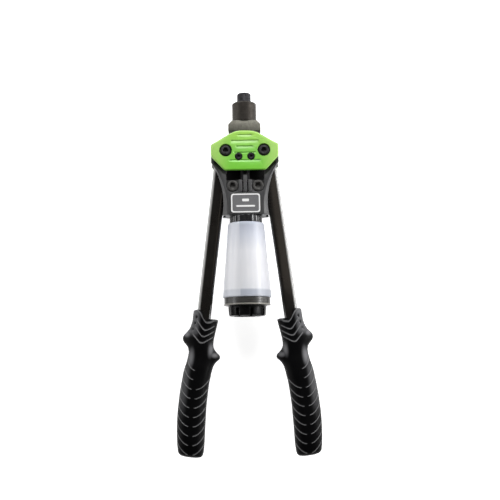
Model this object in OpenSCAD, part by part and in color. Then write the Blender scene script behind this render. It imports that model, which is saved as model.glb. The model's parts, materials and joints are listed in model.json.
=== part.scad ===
// Hand riveter: a two-handed lever tool that sets blind rivets up to 6.4 mm.
// It lies on its back: +Y points out of the nose, +Z out of the front cover, X across the levers.
// Each piece is drawn about the pivot line (Y = 0) and the mid plane (Z = 0), and placed() sets
// it down so that the origin is under the middle of the tool, on the surface it lies on.
// The nose barrel slides along Y. Each lever turns on its pivot bolt, and its forked nose
// drives the barrel's yoke. The jaw case, the pull tube and the collector stay with the head.

/* [Head] */
// Distance of each lever's pivot from the centre line
pivot_x = 22.5; // [22.5:0.1:23]
// Half the space between the two frame plates
plate_gap = 13.2; // [13.2:0.1:13.6]
// Thickness of a frame plate
plate_t = 4; // [3.8:0.1:4.6]
// Thickness of a cover
cover_t = 4.2; // [3.8:0.1:5]
// Half the width of a cover
cover_half_w = 40; // [39:0.1:41]
// Height of a cover above the pivot line
cover_top = 23.4; // [23:0.1:23.6]
// Lower end of the frame halves, below the pivot line
frame_bottom = -75.7; // [-77:0.1:-75.5]

/* [Levers] */
// Angle between each arm and the centre line, with the tool at rest
arm_angle = 7.2; // [7:0.1:8]
// Width of an arm tube
arm_w = 16.2; // [15:0.1:16.4]
// Depth of an arm tube
arm_d = 13; // [12:0.1:13.4]
// Wall of an arm tube
arm_wall = 1.8; // [1.4:0.1:2.2]
// Distance from the pivot to the end of an arm tube
arm_end = 330; // [300:1:334]
// Half the depth of a grip at its fullest
grip_half_d = 14.8; // [14:0.1:16]

/* [Nose] */
// Radius of the nosepiece's knurled end
nosepiece_r = 8.2; // [7:0.05:8.6]
// Bore of the nosepiece, for the mandrel of the rivet
nosepiece_bore = 2.1; // [1.2:0.05:2.3]
// Radius of the nose sleeve
sleeve_r = 14.4; // [13.8:0.1:14.6]
// Half the width of the collar behind the sleeve
collar_half_w = 19.2; // [17:0.1:19.4]
// Distance from the pivot line to the nosepiece's tip
nose_tip = 73; // [72:0.1:78]

/* [Collector] */
// Radius of the bottle at its shoulder
bottle_top_r = 21.35; // [20.5:0.05:22]
// Radius of the bottle at its mouth
bottle_mouth_r = 28.7; // [28.6:0.1:29.5]
// Length of the bottle
bottle_len = 88.2; // [84:0.1:88.5]
// Wall of the bottle
bottle_wall = 1.6; // [1.2:0.1:1.6]
// Radius of the end cap's grip at its root
knob_r = 22.6; // [21.6:0.1:23]

/* [Hidden] */
eps = 0.1;
round_fn = 96;
waist_fn = 240;

// Where the tool's own origin lies in the part's frame
pivot_y = 141.4;
mid_z = bottle_mouth_r;

// Head, from the mid plane outwards
plate_z = plate_gap + plate_t;
cover_z = plate_z + cover_t;
hub_half = 12.4;
block_half = 10.5;
pivot_bolt_r = 4.5;
pivot_head_r = 5.7;
pivot_well_r = 7.5;
cover_screw_at = [7.3, -7.6];
cover_screw_r = 2;
cover_screw_well_r = 4.65;
cover_screw_seat = plate_z + 1.5;
body_bolt_at = [15, -41.8];
body_bolt_r = 4;
body_bolt_head_r = 6.7;
body_bolt_well_r = 7.4;
body_bolt_seat = 13.6;

// Frame halves
block_top = -34.5;
block_half_w = 20.5;
arm_relief_z = arm_d / 2 + 1.1;
flank_w = 32.5;
waist_at = [114.1, -61];
waist_r = 88;
// Where the bevel along the waist meets the face: it widens towards the collector
bevel_at = [111.4, -68];
bevel_r = 90;
bevel_depth = 4.1;
end_wall_top = -70;
window_top = -22.4;
window_bottom = block_top;
rib_top = -29;
rib_bottom = -48.5;
rib_t = 0.8;
middle_rib_half_w = 2.1;
side_rib_at = 5.5;
side_rib_half_w = 1.8;
neck_spigot_r = 13;
neck_flange_r = 14.5;

// Levers
hub_r = 11.5;
bush_r = 6;
finger_in = 7.6;
nose_reach = 14;
nose_r = 3.8;
nose_angle = 25;
arm_offset = 3.9;
arm_start = 13.9;

// Nose barrel
barrel_z = 13;
stem_half_w = 10.3;
stem_bottom = -3;
collar_bottom = 25;
collar_top = 37.8;
cavity_r = 9;
cavity_floor = 14.8;
sleeve_top = 61;
sleeve_wall_at = 53;
spigot_r = 11.3;
spigot_top = 44;
shank_r = 5;

// Pull tube and jaws
tube_r = 5.5;
tube_bore = 3.5;
tube_top = 21;
tube_bottom = -84;
spring_well_r = 4.2;
spring_well_floor = 7;
spring_r = 3.4;
spring_wire = 0.4;
spring_turns = 9;
case_r = 8.7;
case_bottom = 16;
case_top = 40;
case_mouth_r = 3.5;
case_cone_r = 7.3;
case_cone_at = 24;
jaw_gap = 0.25;
jaw_grip_r = 1.5;
pusher_r = 6.5;
pusher_stem_r = 2.9;
pusher_bore = 2.3;

// Collector
neck_top = -76.2;
bottle_top = -84.2;
bottle_bottom = bottle_top - bottle_len;
thread_r = 15.5;
thread_end = -95;
ring_spigot_r = bottle_mouth_r - bottle_wall - 0.1;
ring_r = bottle_mouth_r - 1.4;
ring_lip_r = bottle_mouth_r - 1.1;
ring_bore = 23.5;
ring_bottom = bottle_bottom - 9.4;
cap_spigot_r = ring_bore - 0.2;
cap_bottom = ring_bottom - 12.2;
cap_lobes = 8;
lobe_gap = 3.2;
// Angle of the first gap between lobes, from the front
lobe_turn = 13.4;

// ---------- Outlines ----------

function unit(v) = v / norm(v);

// A corner eased into a smooth curve that leaves its two sides at a distance r
function eased(a, p, b, r, n) =
    let (p0 = p + unit(a - p) * r, p2 = p + unit(b - p) * r)
    [for (i = [0 : n]) let (t = i / n) (1 - t) * (1 - t) * p0 + 2 * t * (1 - t) * p + t * t * p2];

// An outline with the corner i eased by radii[i]; zero leaves it sharp
function eased_outline(points, radii, n = 5) =
    let (count = len(points))
    [for (i = [0 : count - 1])
        let (a = points[(i + count - 1) % count], b = points[(i + 1) % count])
        each (radii[i] > 0 ? eased(a, points[i], b, radii[i], n) : [points[i]])];

// The right half of an outline, from top to bottom, joined to its mirror image
function both_sides(half) =
    concat(half, [for (i = [len(half) - 1 : -1 : 0]) [-half[i].x, half[i].y]]);

function both_radii(half) = concat(half, [for (i = [len(half) - 1 : -1 : 0]) half[i]]);

function rounded_box(w, d, r) =
    eased_outline([[w / 2, d / 2], [w / 2, -d / 2], [-w / 2, -d / 2], [-w / 2, d / 2]], [r, r, r, r]);

cover_outline = eased_outline(
    both_sides([[11, cover_top], [cover_half_w, 6.6], [cover_half_w, -6.8], [24.2, -23.7]]),
    both_radii([7, 3, 3, 2]));

frame_outline = both_sides([
    [11.4, cover_top + 0.8], [cover_half_w - 0.2, 7.6], [cover_half_w - 0.2, -13.5],
    [flank_w, -28.5], [flank_w, frame_bottom]
]);

// ---------- Shared shapes ----------

module placed() {
    translate([0, pivot_y, mid_z]) children();
}

module slab(outline, low, high) {
    translate([0, 0, low]) linear_extrude(high - low) polygon(outline);
}

// A profile of [radius, y] points turned about the Y axis
module turned(profile) {
    rotate([-90, 0, 0]) rotate_extrude($fn = round_fn) polygon(profile);
}

module rod(r, low, high) {
    translate([0, 0, low]) cylinder(r = r, h = high - low, $fn = round_fn);
}

module y_rod(r, low, high) {
    translate([0, low, 0]) rotate([-90, 0, 0]) cylinder(r = r, h = high - low, $fn = round_fn);
}

module box(from, to) {
    translate(from) cube(to - from);
}

module hex_socket(across, low, high) {
    translate([0, 0, low]) cylinder(r = across / sqrt(3), h = high - low, $fn = 6);
}

module at_pair(place) {
    for (side = [-1, 1]) translate([side * place.x, place.y, 0]) children();
}

// ---------- Head: frame halves and covers ----------

module waist_cut() {
    for (side = [-1, 1]) scale([side, 1, 1]) {
        translate([waist_at.x, waist_at.y, -eps])
            cylinder(r = waist_r, h = plate_z + 1, $fn = waist_fn);
        hull() {
            translate([waist_at.x, waist_at.y, plate_z - bevel_depth])
                cylinder(r = waist_r - eps, h = eps, $fn = waist_fn);
            translate([bevel_at.x, bevel_at.y, plate_z]) cylinder(r = bevel_r, h = eps, $fn = waist_fn);
        }
    }
}

// Room for the arms, which nest beside the block while the handles are closed
module arm_relief() {
    near = 17.7;
    far = 24;
    for (side = [-1, 1])
        slab([[side * near, 0], [side * far, frame_bottom - 1], [side * 60, frame_bottom - 1],
              [side * 60, 0]], -eps, arm_relief_z);
}

module screw_wells() {
    at_pair(body_bolt_at) {
        rod(body_bolt_well_r, body_bolt_seat, plate_z + eps);
        rod(body_bolt_r, -eps, plate_z);
        box([-body_bolt_well_r, 0, body_bolt_seat], [body_bolt_well_r, 8, plate_z + eps]);
    }
    at_pair([pivot_x, 0]) rod(pivot_bolt_r, plate_gap - eps, plate_z + eps);
    at_pair(cover_screw_at) rod(cover_screw_r, plate_gap - eps, plate_z + eps);
}

// One half of the cast frame: the head plate, and half of the block that holds the neck ring
module frame_half() {
    difference() {
        union() {
            slab(frame_outline, plate_gap, plate_z);
            box([-flank_w, frame_bottom, 0], [flank_w, block_top, plate_gap + eps]);
        }
        waist_cut();
        arm_relief();
        screw_wells();
        box([-block_half_w, end_wall_top, -eps], [block_half_w, block_top + eps, block_half]);
        y_rod(neck_spigot_r, frame_bottom - eps, end_wall_top + eps);
        y_rod(neck_flange_r, -73.5, -71);
    }
}

// The window under the front cover, with the top of the middle rib standing in it
module front_window() {
    half_w = body_bolt_at.x + body_bolt_well_r;
    difference() {
        box([-half_w, window_bottom, plate_gap - eps], [half_w, window_top, plate_z + eps]);
        box([-middle_rib_half_w, window_bottom - eps, plate_gap - 1],
            [middle_rib_half_w, rib_top, plate_z + 1]);
    }
}

// The groove along each slanting lower edge of the front cover
module front_grooves() {
    for (side = [-1, 1]) scale([side, 1, 1])
        slab([[22, -29], [25.4, -27.6], [36.9, -14.4], [34.6, -10.6], [22, -22.4]],
             plate_z - 2.6, plate_z + eps);
}

module rib(half_w, high, low) {
    slab(eased_outline([[half_w, high], [half_w, low], [-half_w, low], [-half_w, high]], [1, 1, 1, 1]),
         plate_z - eps, plate_z + rib_t);
}

module front_ribs() {
    rib(middle_rib_half_w, rib_top - rib_t, rib_bottom);
    at_pair([side_rib_at, 0]) rib(side_rib_half_w, window_bottom - rib_t, rib_bottom);
}

// The slots between the ribs
module front_slots() {
    slot_depth = 3.6;
    at_pair([(middle_rib_half_w + side_rib_at - side_rib_half_w) / 2, 0]) {
        half_w = (side_rib_at - side_rib_half_w - middle_rib_half_w) / 2;
        box([-half_w, rib_bottom + 0.5, plate_z - slot_depth],
            [half_w, window_bottom + eps, plate_z + eps]);
    }
}

module front_frame() {
    color("#232323") union() {
        difference() {
            frame_half();
            front_window();
            front_slots();
            front_grooves();
        }
        front_ribs();
    }
}

module rear_frame() {
    color("#232323") mirror([0, 0, 1]) frame_half();
}

// A shallow scoop with a sharp upper edge, as in a louvre
module louvre(y, half_w, run) {
    depth = 0.9;
    translate([-half_w, y, cover_z]) rotate([90, 0, 90])
        linear_extrude(2 * half_w) polygon([[0, eps], [0, -depth], [-run, eps]]);
}

module cover() {
    difference() {
        slab(cover_outline, plate_z, cover_z);
        at_pair([pivot_x, 0]) rod(pivot_well_r, plate_z - eps, cover_z + eps);
        at_pair(cover_screw_at) {
            rod(cover_screw_well_r, cover_screw_seat, cover_z + eps);
            rod(cover_screw_r, plate_z - eps, cover_z);
        }
        louvre(18.9, 8.8, 3.6);
        louvre(12, 16.6, 3.8);
        louvre(5.2, 10.2, 4);
        louvre(-2.2, 12.9, 3);
        louvre(-11.2, 18.7, 3.6);
    }
}

module front_cover() {
    color("#7ac943") cover();
}

module rear_cover() {
    color("#7ac943") mirror([0, 0, 1]) cover();
}

// A blank name plate: a flat field inside a raised border
module badge_plate() {
    badge_w = 34;
    badge_h = 22.4;
    border = 1.7;
    color("#8f9193") translate([0, -62.6, plate_z]) difference() {
        slab(rounded_box(badge_w, badge_h, 3.5), 0, 0.8);
        slab(rounded_box(badge_w - 2 * border, badge_h - 2 * border, 2.2), 0.5, 1);
    }
}

// ---------- Head: fasteners ----------

module pivot_bolts() {
    head_top = plate_z + 3.4;
    color("#2b2b2d") at_pair([pivot_x, 0]) difference() {
        union() {
            rod(pivot_bolt_r, -plate_z, plate_z + eps);
            rod(pivot_head_r, plate_z, head_top);
            rod(3, -plate_z - 3.2, -plate_z + eps);
        }
        hex_socket(6, head_top - 3.6, head_top + eps);
    }
}

module pivot_nuts() {
    color("#2b2b2d") at_pair([pivot_x, 0]) difference() {
        hex_socket(10.8, -plate_z - 3.2, -plate_z);
        rod(3, -plate_z - 4, -plate_z + eps);
    }
}

module cover_screw() {
    head_top = cover_screw_seat + 1.9;
    difference() {
        union() {
            rod(4.1, cover_screw_seat, head_top);
            rod(cover_screw_r, plate_gap + 0.3, cover_screw_seat + eps);
        }
        hex_socket(3.5, head_top - 1.5, head_top + eps);
    }
}

module cover_screws_front() {
    color("#1c1c1e") at_pair(cover_screw_at) cover_screw();
}

module cover_screws_rear() {
    color("#1c1c1e") mirror([0, 0, 1]) at_pair(cover_screw_at) cover_screw();
}

module body_bolts() {
    head_top = body_bolt_seat + 3.4;
    color("#3a3a3c") at_pair(body_bolt_at) difference() {
        union() {
            rod(body_bolt_r, -body_bolt_seat - 3.2, body_bolt_seat + eps);
            rod(body_bolt_head_r, body_bolt_seat, head_top);
        }
        hex_socket(7, head_top - 3.2, head_top + eps);
    }
}

module body_nuts() {
    color("#3a3a3c") at_pair(body_bolt_at) difference() {
        hex_socket(12, -body_bolt_seat - 3.2, -body_bolt_seat);
        rod(body_bolt_r, -body_bolt_seat - 4, -body_bolt_seat + eps);
    }
}

// ---------- Head: pull tube, jaw case and neck ring ----------

module anchor_block() {
    anchor_low = -51;
    anchor_high = -35;
    color("#8a8c8e") difference() {
        box([-block_half_w, anchor_low, -block_half], [block_half_w, anchor_high, block_half]);
        at_pair(body_bolt_at) rod(body_bolt_r, -block_half - eps, block_half + eps);
        y_rod(tube_r, anchor_low - eps, anchor_high + eps);
    }
}

module pull_tube() {
    color("#9a9c9e") turned([
        [tube_bore, tube_bottom], [tube_r, tube_bottom], [tube_r, tube_top],
        [spring_well_r, tube_top], [spring_well_r, spring_well_floor], [tube_bore, spring_well_floor]
    ]);
}

module tube_lock_nut() {
    across = 17;
    low = -57;
    high = -51;
    color("#8a8c8e") difference() {
        translate([0, low, 0]) rotate([-90, 0, 0])
            cylinder(r = across / sqrt(3), h = high - low, $fn = 6);
        y_rod(tube_r, low - eps, high + eps);
    }
}

module jaw_case() {
    color("#6f7173") turned([
        [tube_r, case_bottom], [case_r, case_bottom], [case_r, case_top], [case_mouth_r, case_top],
        [case_cone_r, case_cone_at], [case_cone_r, tube_top], [tube_r, tube_top]
    ]);
}

module neck_ring() {
    ring_r = 19.7;
    inner_r = 12;
    color("#151515") turned([
        [tube_r, end_wall_top], [neck_spigot_r, end_wall_top], [neck_spigot_r, -71],
        [neck_flange_r, -71], [neck_flange_r, -73.5], [neck_spigot_r, -73.5],
        [neck_spigot_r, neck_top], [ring_r, neck_top], [ring_r, bottle_top + 0.2],
        [thread_r, bottle_top + 0.2], [thread_r, thread_end], [inner_r, thread_end],
        [inner_r, neck_top], [tube_r, neck_top]
    ]);
}

// ---------- Levers ----------

// Puts the right lever's own axes in place: the pivot is its origin and the arm runs along -Y
module at_lever(side) {
    scale([side, 1, 1]) translate([pivot_x, 0, 0]) rotate([0, 0, arm_angle]) children();
}

module arm_length(w, d, r, from, to) {
    translate([arm_offset, -from, 0]) rotate([90, 0, 0])
        linear_extrude(to - from) polygon(rounded_box(w, d, r));
}

// One finger of the forked nose, which reaches into the yoke
module finger() {
    reach = nose_angle + arm_angle;
    tip = nose_reach * [-cos(reach), sin(reach)];
    across = [sin(reach), cos(reach)];
    slab([5.5 * across, tip + 2.8 * across, tip - 2.8 * across, -5.5 * across],
         finger_in, hub_half);
    translate([tip.x, tip.y, 0]) rod(nose_r, finger_in, hub_half);
}

module lever() {
    difference() {
        union() {
            rod(hub_r, -hub_half, hub_half);
            finger();
            mirror([0, 0, 1]) finger();
            arm_length(arm_w, arm_d, 4, 0, arm_start);
            arm_length(arm_w - 2 * arm_wall, arm_d - 2 * arm_wall, 2.4, arm_start - 1, 55);
        }
        rod(bush_r, -hub_half - eps, hub_half + eps);
    }
}

module lever_left() {
    color("#5d5f61") at_lever(-1) lever();
}

module lever_right() {
    color("#5d5f61") at_lever(1) lever();
}

module pivot_bush(side) {
    color("#b08d57") at_lever(side) difference() {
        rod(bush_r, -hub_half, hub_half);
        rod(pivot_bolt_r + 0.05, -hub_half - eps, hub_half + eps);
    }
}

module pivot_washers(side) {
    color("#9a9c9e") at_lever(side) for (face = [hub_half, -hub_half - 0.6]) difference() {
        rod(9, face, face + 0.6);
        rod(pivot_bolt_r + 0.2, face - eps, face + 0.6 + eps);
    }
}

module arm_tube(side) {
    color("#141414") at_lever(side) difference() {
        arm_length(arm_w, arm_d, 4, arm_start, arm_end);
        arm_length(arm_w - 2 * arm_wall, arm_d - 2 * arm_wall, 2.4, arm_start - 1, arm_end + 1);
    }
}

// Grip sections: distance down the arm, inner edge, outer edge, share of the full depth
grip_sections = [
    [186, -12.4, 17, 0.86], [198, -12.2, 17, 0.88], [208, -11.4, 18.2, 0.9],
    [217, -10.6, 22.8, 0.92], [223, -10.2, 25.3, 0.93], [229, -10.4, 22.6, 0.92],
    [235, -13.6, 18.2, 0.92], [240, -18.8, 17.3, 0.92], [246, -16, 17.6, 0.93],
    [252, -12.4, 18.6, 0.94], [262, -10.8, 20.5, 0.96], [274, -10, 21.8, 0.98],
    [288, -9.8, 22.5, 1], [304, -10.2, 22.3, 1], [320, -11, 21.2, 0.98],
    [336, -12.1, 19.9, 0.95], [348, -12.6, 18.2, 0.88], [354, -12, 16.2, 0.76],
    [357.2, -9.8, 12.8, 0.56], [358.4, -5.5, 8, 0.3]
];
grip_ring_points = 28;

// A point of a section that is between an ellipse and a rectangle
function section_point(s, angle) =
    let (
        squareness = 0.82,
        c = cos(angle),
        d = sin(angle),
        half_w = (s[2] - s[1]) / 2,
        half_d = s[3] * grip_half_d
    )
    [(s[1] + s[2]) / 2 + half_w * sign(c) * pow(abs(c), squareness), -s[0],
     half_d * sign(d) * pow(abs(d), squareness)];

module grip_body() {
    n = grip_ring_points;
    rings = len(grip_sections);
    points = [for (s = grip_sections, k = [0 : n - 1]) section_point(s, 360 * k / n)];
    walls = [for (i = [0 : rings - 2], k = [0 : n - 1])
        let (a = i * n + k, b = i * n + (k + 1) % n) each [[a, b, b + n], [a, b + n, a + n]]];
    lids = [[for (k = [n - 1 : -1 : 0]) k], [for (k = [0 : n - 1]) (rings - 1) * n + k]];
    polyhedron(points, concat(walls, lids));
}

module grip(side) {
    color("#1e1f21") at_lever(side) difference() {
        grip_body();
        // The V cut at the top
        slab([[-20, -180], [-20, -198], [-9, -198], [0.5, -201.4], [8, -192], [11, -189.4],
              [20, -189.4], [20, -180]], -20, 20);
        arm_length(arm_w, arm_d, 4, 180, arm_end);
    }
}

// ---------- Nose barrel ----------

module barrel_yoke() {
    slot_half = 4.1;
    slot_y = nose_reach * sin(nose_angle);
    color("#77756f") difference() {
        union() {
            box([-stem_half_w, stem_bottom, -barrel_z], [stem_half_w, collar_bottom + eps, barrel_z]);
            slab(both_sides([[sleeve_r, collar_top], [collar_half_w, 33], [collar_half_w, collar_bottom]]),
                 -barrel_z, barrel_z);
            y_rod(spigot_r, collar_top - eps, spigot_top);
        }
        y_rod(cavity_r, cavity_floor, spigot_top + eps);
        y_rod(tube_r + 0.3, stem_bottom - eps, cavity_floor + eps);
        for (side = [-1, 1], face = [-1, 1]) scale([side, 1, face])
            box([4.2, slot_y - slot_half, 7.4], [stem_half_w + eps, slot_y + slot_half, barrel_z + eps]);
    }
}

module nose_sleeve() {
    color("#45423c") turned([
        [cavity_r, spigot_top], [spigot_r, spigot_top], [spigot_r, collar_top],
        [sleeve_r, collar_top], [sleeve_r, sleeve_top - 1.5], [sleeve_r - 1.5, sleeve_top],
        [shank_r, sleeve_top], [shank_r, sleeve_wall_at], [cavity_r, sleeve_wall_at]
    ]);
}

module nosepiece() {
    color("#26262c") turned([
        [nosepiece_bore, sleeve_wall_at], [shank_r, sleeve_wall_at], [shank_r, sleeve_top],
        [nosepiece_r, sleeve_top], [nosepiece_r, nose_tip - 1.8], [nosepiece_r - 0.6, nose_tip - 0.6],
        [nosepiece_r - 2, nose_tip], [nosepiece_bore, nose_tip]
    ]);
}

// ---------- Jaws ----------

module jaw_pusher() {
    flange_low = 23.2;
    flange_high = 25.7;
    color("#9a9c9e") turned([
        [pusher_bore, 12], [pusher_stem_r, 12], [pusher_stem_r, flange_low],
        [pusher_r, flange_low], [pusher_r, flange_high], [pusher_bore, flange_high]
    ]);
}

// A coil spring swept along its helix, between the tube's well and the pusher
module jaw_spring() {
    sides = 8;
    per_turn = 16;
    low = spring_well_floor + spring_wire + 0.05;
    high = 23.2 - spring_wire - 0.05;
    steps = spring_turns * per_turn;
    points = [for (i = [0 : steps], k = [0 : sides - 1])
        let (turn = 360 * i / per_turn, around = 360 * k / sides,
             r = spring_r + spring_wire * cos(around),
             y = low + (high - low) * i / steps + spring_wire * sin(around))
        [r * cos(turn), y, r * sin(turn)]];
    walls = [for (i = [0 : steps - 1], k = [0 : sides - 1])
        let (a = i * sides + k, b = i * sides + (k + 1) % sides)
        each [[a, b + sides, b], [a, a + sides, b + sides]]];
    lids = [[for (k = [0 : sides - 1]) k], [for (k = [sides - 1 : -1 : 0]) steps * sides + k]];
    color("#b9bbbd") polyhedron(points, concat(walls, lids));
}

// One of three jaws: a third of a cone that closes in as it is drawn up the case
module jaw(index) {
    slope = (case_cone_r - case_mouth_r) / (case_top - case_cone_at);
    low = 26;
    high = case_top - 0.3;
    far = 20;
    cut = 0.2;
    color("#5a5c5e") intersection() {
        turned([
            [jaw_grip_r, low], [case_mouth_r - jaw_gap + slope * (case_top - low), low],
            [case_mouth_r - jaw_gap + slope * (case_top - high), high], [jaw_grip_r, high]
        ]);
        rotate([0, 120 * index, 0]) translate([cut, 0, 0]) rotate([-90, 0, 0])
            linear_extrude(case_top) polygon([[0, 0], [far * cos(60), far * sin(60)], [far, 0],
                                              [far * cos(60), -far * sin(60)]]);
    }
}

// ---------- Collector ----------

module collector_bottle() {
    inner_top = bottle_top - bottle_wall;
    shoulder = 1.6;
    color("#dfe4ea") turned([
        [thread_r + 0.15, bottle_top], [bottle_top_r - shoulder, bottle_top],
        [bottle_top_r - 0.4, bottle_top - 0.5], [bottle_top_r, bottle_top - shoulder],
        [bottle_mouth_r, bottle_bottom], [bottle_mouth_r - bottle_wall, bottle_bottom],
        [bottle_top_r - bottle_wall, inner_top], [thread_r + 1.8, inner_top],
        [thread_r + 1.8, thread_end], [thread_r + 0.15, thread_end]
    ]);
}

module closure_ring() {
    seat = bottle_bottom - 0.1;
    spigot_top = bottle_bottom + 8;
    color("#1a1b1c") turned([
        [ring_bore, spigot_top], [ring_spigot_r - 1.2, spigot_top], [ring_spigot_r, bottle_bottom],
        [ring_spigot_r, seat], [ring_r, seat - 0.6], [ring_r, ring_bottom + 1.8],
        [ring_lip_r, ring_bottom + 1.4], [ring_lip_r, ring_bottom], [ring_bore, ring_bottom]
    ]);
}

module end_cap() {
    top = bottle_bottom + 6;
    seal_low = bottle_bottom - 3.2;
    seal_high = bottle_bottom - 1.4;
    color("#1d1d1f") difference() {
        turned([
            [0, cap_bottom], [knob_r - 2.1, cap_bottom], [knob_r - 1.1, cap_bottom + 1],
            [knob_r, ring_bottom - 0.2], [cap_spigot_r, ring_bottom - 0.2], [cap_spigot_r, seal_low],
            [cap_spigot_r - 1.1, seal_low], [cap_spigot_r - 1.1, seal_high],
            [cap_spigot_r, seal_high], [cap_spigot_r, top], [cap_spigot_r - 2.5, top],
            [cap_spigot_r - 2.5, ring_bottom + 1.4], [0, ring_bottom + 1.4]
        ]);
        for (i = [0 : cap_lobes - 1]) rotate([0, 360 * i / cap_lobes + lobe_turn, 0])
            box([-lobe_gap / 2, cap_bottom - eps, knob_r - 7],
                [lobe_gap / 2, ring_bottom - 3, knob_r + 1]);
        y_rod(knob_r - 7, cap_bottom - eps, ring_bottom - 3);
    }
}

module cap_seal() {
    low = bottle_bottom - 3.1;
    high = bottle_bottom - 1.5;
    color("#303030") turned([
        [cap_spigot_r - 1, low], [cap_spigot_r + 0.1, low], [cap_spigot_r + 0.1, high],
        [cap_spigot_r - 1, high]
    ]);
}

placed() front_frame();
placed() rear_frame();
placed() front_cover();
placed() rear_cover();
placed() badge_plate();
placed() pivot_bolts();
placed() pivot_nuts();
placed() cover_screws_front();
placed() cover_screws_rear();
placed() body_bolts();
placed() body_nuts();
placed() anchor_block();
placed() pull_tube();
placed() tube_lock_nut();
placed() jaw_case();
placed() neck_ring();
placed() lever_left();
placed() lever_right();
placed() pivot_bush(-1);  // pivot_bush_left
placed() pivot_bush(1);  // pivot_bush_right
placed() pivot_washers(-1);  // pivot_washers_left
placed() pivot_washers(1);  // pivot_washers_right
placed() arm_tube(-1);  // arm_tube_left
placed() arm_tube(1);  // arm_tube_right
placed() grip(-1);  // grip_left
placed() grip(1);  // grip_right
placed() barrel_yoke();
placed() nose_sleeve();
placed() nosepiece();
placed() jaw_pusher();
placed() jaw_spring();
placed() jaw(0);  // jaw_1
placed() jaw(1);  // jaw_2
placed() jaw(2);  // jaw_3
placed() collector_bottle();
placed() closure_ring();
placed() end_cap();
placed() cap_seal();
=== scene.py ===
"""The looks of a two-handed hand riveter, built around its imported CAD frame.

Shapes are drawn in the tool's own axes, in millimetres: the origin is on the line through the two lever
pivots, +Y points out of the nose and +Z out of the front cover. A lever's own axes start at its pivot,
with the arm along -Y and +X away from the centre line; the left lever is the right one's mirror image.
"""

import json
import math

import bmesh
import bpy
import numpy as np
from mathutils import Matrix, Vector


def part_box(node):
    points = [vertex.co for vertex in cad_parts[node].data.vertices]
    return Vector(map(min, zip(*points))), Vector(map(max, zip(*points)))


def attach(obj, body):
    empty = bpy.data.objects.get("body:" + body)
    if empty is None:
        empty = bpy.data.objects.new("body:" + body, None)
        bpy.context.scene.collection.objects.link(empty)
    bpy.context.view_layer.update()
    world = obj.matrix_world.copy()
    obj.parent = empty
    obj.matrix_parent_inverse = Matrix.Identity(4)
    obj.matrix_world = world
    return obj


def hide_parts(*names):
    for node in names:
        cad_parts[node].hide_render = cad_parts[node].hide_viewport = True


MM = 0.001
SIDES = {"left": -1, "right": 1}

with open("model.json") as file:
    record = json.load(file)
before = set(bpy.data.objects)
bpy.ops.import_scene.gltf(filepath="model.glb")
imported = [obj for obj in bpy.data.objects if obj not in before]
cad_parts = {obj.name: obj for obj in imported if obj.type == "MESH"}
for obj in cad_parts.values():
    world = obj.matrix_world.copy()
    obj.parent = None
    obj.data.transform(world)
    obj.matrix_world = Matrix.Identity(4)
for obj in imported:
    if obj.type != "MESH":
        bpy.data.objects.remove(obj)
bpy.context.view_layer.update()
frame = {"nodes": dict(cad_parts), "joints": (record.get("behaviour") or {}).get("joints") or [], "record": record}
scene = bpy.context.scene

joints = {joint["name"]: joint for joint in frame["joints"]}
subparts = {entry["node"]: entry for entry in frame["record"]["subparts"]}
bodies = {node: name for name, nodes in frame["record"]["behaviour"]["bodies"].items() for node in nodes}
pivot = Vector(joints["lever_right_pivot"]["pos_m"])
ORIGIN = Vector((0, pivot.y, pivot.z))
TOOL = Matrix.Translation(ORIGIN) @ Matrix.Scale(MM, 4)
PIVOT_X = pivot.x / MM
ARM_ANGLE = math.radians(7.2)


def lever_axes(side):
    """A lever's own axes, in the frame."""
    return (TOOL @ Matrix.Diagonal((side, 1, 1, 1)) @ Matrix.Translation((PIVOT_X, 0, 0))
            @ Matrix.Rotation(ARM_ANGLE, 4, "Z"))


def span(node):
    """The lowest and highest corners of a CAD node, in the tool's axes."""
    low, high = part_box(node)
    return (low - ORIGIN) / MM, (high - ORIGIN) / MM


# ---------- Numbers and outlines ----------

def curve_through(points):
    """A smooth function through (x, y) points that doesn't overshoot them."""
    xs, ys = (np.array(values, float) for values in zip(*points))
    steps = np.diff(ys) / np.diff(xs)
    slopes = np.concatenate(([steps[0]], np.where(steps[:-1] * steps[1:] > 0,
                             2 * steps[:-1] * steps[1:] / (steps[:-1] + steps[1:] + 1e-12), 0), [steps[-1]]))

    def value(x):
        x = np.clip(x, xs[0], xs[-1])
        i = np.clip(np.searchsorted(xs, x) - 1, 0, len(xs) - 2)
        width = xs[i + 1] - xs[i]
        t = (x - xs[i]) / width
        return (ys[i] * (2 * t**3 - 3 * t**2 + 1) + ys[i + 1] * (3 * t**2 - 2 * t**3)
                + slopes[i] * width * (t**3 - 2 * t**2 + t) + slopes[i + 1] * width * (t**3 - t**2))

    return value


def ramp(x, start, end):
    """0 before start, 1 after end, and smooth between them. It also falls, if end is below start."""
    t = np.clip((x - start) / (end - start), 0, 1)
    return t * t * (3 - 2 * t)


def ridge(distance, half_width):
    """A rounded ridge: 1 on its crest and 0 beyond half_width."""
    return np.cos(np.clip(np.abs(distance) / half_width, 0, 1) * math.pi / 2) ** 2


def eased(points, radii, steps):
    """A closed outline with its corners rounded."""
    points = [np.array(p, float) for p in points]
    result = []
    for i, (corner, r) in enumerate(zip(points, radii)):
        sides = [points[i - 1] - corner, points[(i + 1) % len(points)] - corner]
        ends = [corner + s / np.linalg.norm(s) * min(r, 0.49 * np.linalg.norm(s)) for s in sides]
        for t in np.linspace(0, 1, steps + 1):
            result.append(tuple((1 - t) ** 2 * ends[0] + 2 * t * (1 - t) * corner + t**2 * ends[1]))
    return result


def both_sides(half):
    """An outline that is the same on the left as on the right, from its right half."""
    return half + [(-x, y) for x, y in reversed(half)]


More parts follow.
